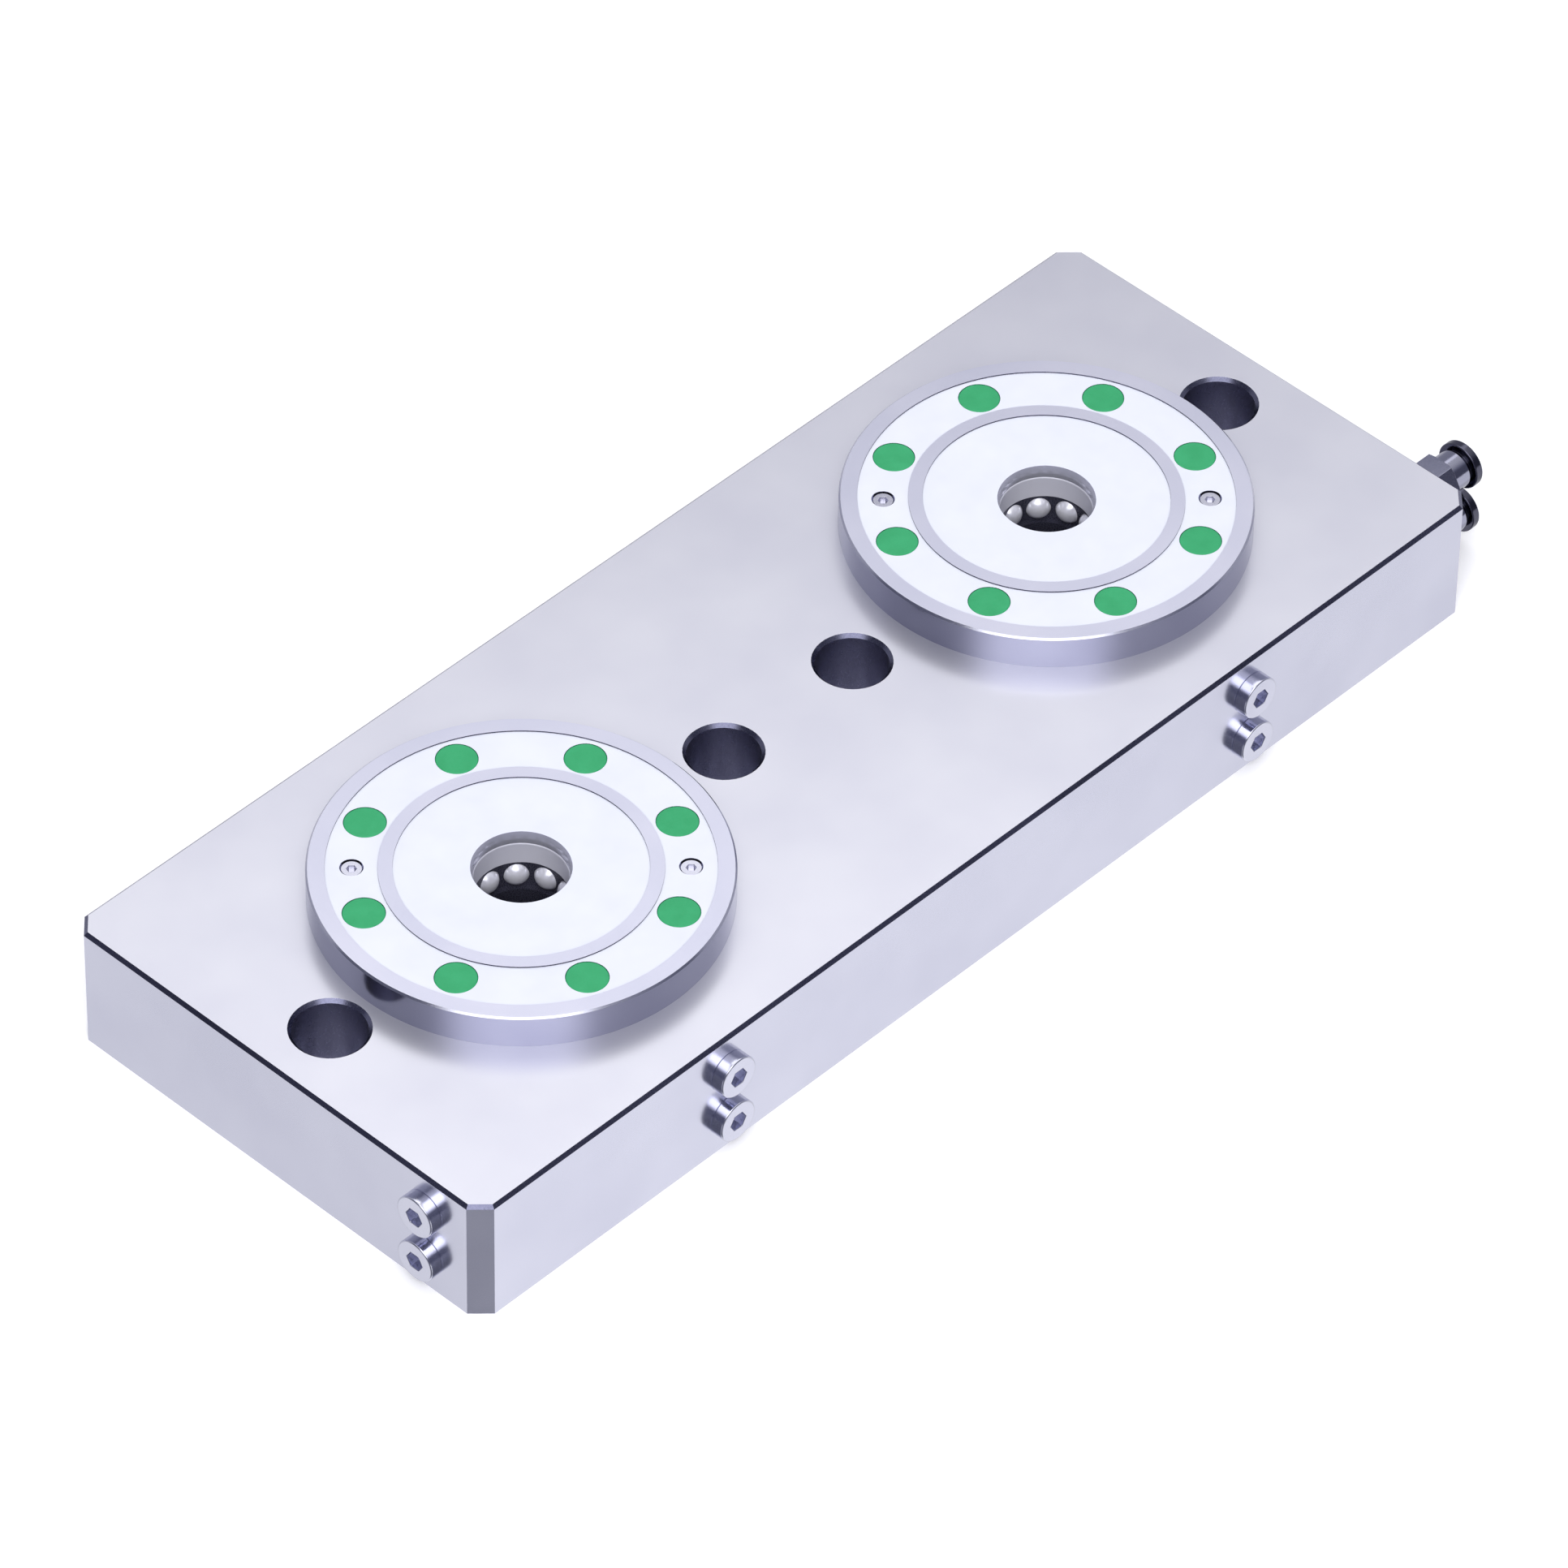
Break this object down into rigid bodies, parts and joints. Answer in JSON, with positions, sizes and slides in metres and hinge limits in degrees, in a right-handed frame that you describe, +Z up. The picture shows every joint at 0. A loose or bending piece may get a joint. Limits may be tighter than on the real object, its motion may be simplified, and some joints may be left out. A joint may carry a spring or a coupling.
{
  "type": "pneumatic zero-point chuck",
  "caption": "Flat base plate carrying round zero-point chucks that grip pull studs with spring-locked, air-released balls; bolts to a machine table and has air ports at its edges.",
  "frame": {"origin": "middle of the plate's underside", "axes": "+X along the plate towards the air fittings, +Z up out of the chucks, -Y is the long face with the port plugs"},
  "size_m": [0.403, 0.1539, 0.049],
  "materials": {
    "plate_steel": "ground and nickel plated, satin",
    "chuck_steel": "hardened stainless steel, turned and ground",
    "hardened_steel": "hardened and ground",
    "ball_steel": "polished bearing steel",
    "spring_steel": "drawn wire and strip",
    "screw_steel": "black oxide",
    "plug_steel": "satin plated",
    "nickel_brass": "nickel-plated brass",
    "cap_plastic": "moulded",
    "seal_rubber": "nitrile rubber"
  },
  "bodies": {
    "root": {"base_plate": "plate_steel", "port_plugs": "plug_steel", "port_plug_seals": "seal_rubber", "upper_fitting_body": "nickel_brass", "lower_fitting_body": "nickel_brass", "fitting_thread_seals": "seal_rubber", "fitting_tube_seals": "seal_rubber", "fitting_grab_rings": "spring_steel", "left_chuck_body": "chuck_steel", "left_ball_cage": "hardened_steel", "left_guide_bush": "hardened_steel", "left_clamp_springs": "spring_steel", "left_end_cover": "hardened_steel", "left_retaining_ring": "spring_steel", "left_flange_screws": "screw_steel", "left_small_screws": "screw_steel", "left_screw_caps": "cap_plastic", "left_spigot_seals": "seal_rubber", "left_cover_seal": "seal_rubber", "right_chuck_body": "chuck_steel", "right_ball_cage": "hardened_steel", "right_guide_bush": "hardened_steel", "right_clamp_springs": "spring_steel", "right_end_cover": "hardened_steel", "right_retaining_ring": "spring_steel", "right_flange_screws": "screw_steel", "right_small_screws": "screw_steel", "right_screw_caps": "cap_plastic", "right_spigot_seals": "seal_rubber", "right_cover_seal": "seal_rubber"},
    "left_piston": {"left_locking_piston": "hardened_steel", "left_piston_outer_seal": "seal_rubber", "left_piston_inner_seal": "seal_rubber"},
    "left_ball_01": {"left_ball_01": "ball_steel"},
    "left_ball_02": {"left_ball_02": "ball_steel"},
    "left_ball_03": {"left_ball_03": "ball_steel"},
    "left_ball_04": {"left_ball_04": "ball_steel"},
    "left_ball_05": {"left_ball_05": "ball_steel"},
    "left_ball_06": {"left_ball_06": "ball_steel"},
    "left_ball_07": {"left_ball_07": "ball_steel"},
    "left_ball_08": {"left_ball_08": "ball_steel"},
    "left_ball_09": {"left_ball_09": "ball_steel"},
    "left_ball_10": {"left_ball_10": "ball_steel"},
    "right_piston": {"right_locking_piston": "hardened_steel", "right_piston_outer_seal": "seal_rubber", "right_piston_inner_seal": "seal_rubber"},
    "right_ball_01": {"right_ball_01": "ball_steel"},
    "right_ball_02": {"right_ball_02": "ball_steel"},
    "right_ball_03": {"right_ball_03": "ball_steel"},
    "right_ball_04": {"right_ball_04": "ball_steel"},
    "right_ball_05": {"right_ball_05": "ball_steel"},
    "right_ball_06": {"right_ball_06": "ball_steel"},
    "right_ball_07": {"right_ball_07": "ball_steel"},
    "right_ball_08": {"right_ball_08": "ball_steel"},
    "right_ball_09": {"right_ball_09": "ball_steel"},
    "right_ball_10": {"right_ball_10": "ball_steel"},
    "upper_collar": {"upper_release_collar": "nickel_brass"},
    "lower_collar": {"lower_release_collar": "nickel_brass"}
  },
  "joints": [
    {"name": "left_piston_lift", "type": "slide", "parent": "root", "child": "left_piston", "axis": [0, 0, 1], "range_m": [0, 0.006], "stiffness_N_per_m": 3000, "springref_m": -0.002, "deforming": ["left_clamp_springs"]},
    {"name": "left_ball_01_slide", "type": "slide", "parent": "root", "child": "left_ball_01", "axis": [0.9659, 0.2588, 0], "range_m": [0, 0.0024]},
    {"name": "left_ball_02_slide", "type": "slide", "parent": "root", "child": "left_ball_02", "axis": [0.6293, 0.7771, 0], "range_m": [0, 0.0024]},
    {"name": "left_ball_03_slide", "type": "slide", "parent": "root", "child": "left_ball_03", "axis": [0.0523, 0.9986, 0], "range_m": [0, 0.0024]},
    {"name": "left_ball_04_slide", "type": "slide", "parent": "root", "child": "left_ball_04", "axis": [-0.5446, 0.8387, 0], "range_m": [0, 0.0024]},
    {"name": "left_ball_05_slide", "type": "slide", "parent": "root", "child": "left_ball_05", "axis": [-0.9336, 0.3584, 0], "range_m": [0, 0.0024]},
    {"name": "left_ball_06_slide", "type": "slide", "parent": "root", "child": "left_ball_06", "axis": [-0.9659, -0.2588, 0], "range_m": [0, 0.0024]},
    {"name": "left_ball_07_slide", "type": "slide", "parent": "root", "child": "left_ball_07", "axis": [-0.6293, -0.7771, 0], "range_m": [0, 0.0024]},
    {"name": "left_ball_08_slide", "type": "slide", "parent": "root", "child": "left_ball_08", "axis": [-0.0523, -0.9986, 0], "range_m": [0, 0.0024]},
    {"name": "left_ball_09_slide", "type": "slide", "parent": "root", "child": "left_ball_09", "axis": [0.5446, -0.8387, 0], "range_m": [0, 0.0024]},
    {"name": "left_ball_10_slide", "type": "slide", "parent": "root", "child": "left_ball_10", "axis": [0.9336, -0.3584, 0], "range_m": [0, 0.0024]},
    {"name": "right_piston_lift", "type": "slide", "parent": "root", "child": "right_piston", "axis": [0, 0, 1], "range_m": [0, 0.006], "stiffness_N_per_m": 3000, "springref_m": -0.002, "deforming": ["right_clamp_springs"]},
    {"name": "right_ball_01_slide", "type": "slide", "parent": "root", "child": "right_ball_01", "axis": [0.9659, 0.2588, 0], "range_m": [0, 0.0024]},
    {"name": "right_ball_02_slide", "type": "slide", "parent": "root", "child": "right_ball_02", "axis": [0.6293, 0.7771, 0], "range_m": [0, 0.0024]},
    {"name": "right_ball_03_slide", "type": "slide", "parent": "root", "child": "right_ball_03", "axis": [0.0523, 0.9986, 0], "range_m": [0, 0.0024]},
    {"name": "right_ball_04_slide", "type": "slide", "parent": "root", "child": "right_ball_04", "axis": [-0.5446, 0.8387, 0], "range_m": [0, 0.0024]},
    {"name": "right_ball_05_slide", "type": "slide", "parent": "root", "child": "right_ball_05", "axis": [-0.9336, 0.3584, 0], "range_m": [0, 0.0024]},
    {"name": "right_ball_06_slide", "type": "slide", "parent": "root", "child": "right_ball_06", "axis": [-0.9659, -0.2588, 0], "range_m": [0, 0.0024]},
    {"name": "right_ball_07_slide", "type": "slide", "parent": "root", "child": "right_ball_07", "axis": [-0.6293, -0.7771, 0], "range_m": [0, 0.0024]},
    {"name": "right_ball_08_slide", "type": "slide", "parent": "root", "child": "right_ball_08", "axis": [-0.0523, -0.9986, 0], "range_m": [0, 0.0024]},
    {"name": "right_ball_09_slide", "type": "slide", "parent": "root", "child": "right_ball_09", "axis": [0.5446, -0.8387, 0], "range_m": [0, 0.0024]},
    {"name": "right_ball_10_slide", "type": "slide", "parent": "root", "child": "right_ball_10", "axis": [0.9336, -0.3584, 0], "range_m": [0, 0.0024]},
    {"name": "upper_collar_push", "type": "slide", "parent": "root", "child": "upper_collar", "axis": [-1, 0, 0], "range_m": [0, 0.0012], "stiffness_N_per_m": 200, "springref_m": -0.0005},
    {"name": "lower_collar_push", "type": "slide", "parent": "root", "child": "lower_collar", "axis": [-1, 0, 0], "range_m": [0, 0.0012], "stiffness_N_per_m": 200, "springref_m": -0.0005}
  ],
  "couplings": [
    {"joint": "left_ball_01_slide", "follows": "left_piston_lift", "ratio": 0.4},
    {"joint": "left_ball_02_slide", "follows": "left_piston_lift", "ratio": 0.4},
    {"joint": "left_ball_03_slide", "follows": "left_piston_lift", "ratio": 0.4},
    {"joint": "left_ball_04_slide", "follows": "left_piston_lift", "ratio": 0.4},
    {"joint": "left_ball_05_slide", "follows": "left_piston_lift", "ratio": 0.4},
    {"joint": "left_ball_06_slide", "follows": "left_piston_lift", "ratio": 0.4},
    {"joint": "left_ball_07_slide", "follows": "left_piston_lift", "ratio": 0.4},
    {"joint": "left_ball_08_slide", "follows": "left_piston_lift", "ratio": 0.4},
    {"joint": "left_ball_09_slide", "follows": "left_piston_lift", "ratio": 0.4},
    {"joint": "left_ball_10_slide", "follows": "left_piston_lift", "ratio": 0.4},
    {"joint": "right_ball_01_slide", "follows": "right_piston_lift", "ratio": 0.4},
    {"joint": "right_ball_02_slide", "follows": "right_piston_lift", "ratio": 0.4},
    {"joint": "right_ball_03_slide", "follows": "right_piston_lift", "ratio": 0.4},
    {"joint": "right_ball_04_slide", "follows": "right_piston_lift", "ratio": 0.4},
    {"joint": "right_ball_05_slide", "follows": "right_piston_lift", "ratio": 0.4},
    {"joint": "right_ball_06_slide", "follows": "right_piston_lift", "ratio": 0.4},
    {"joint": "right_ball_07_slide", "follows": "right_piston_lift", "ratio": 0.4},
    {"joint": "right_ball_08_slide", "follows": "right_piston_lift", "ratio": 0.4},
    {"joint": "right_ball_09_slide", "follows": "right_piston_lift", "ratio": 0.4},
    {"joint": "right_ball_10_slide", "follows": "right_piston_lift", "ratio": 0.4}
  ]
}
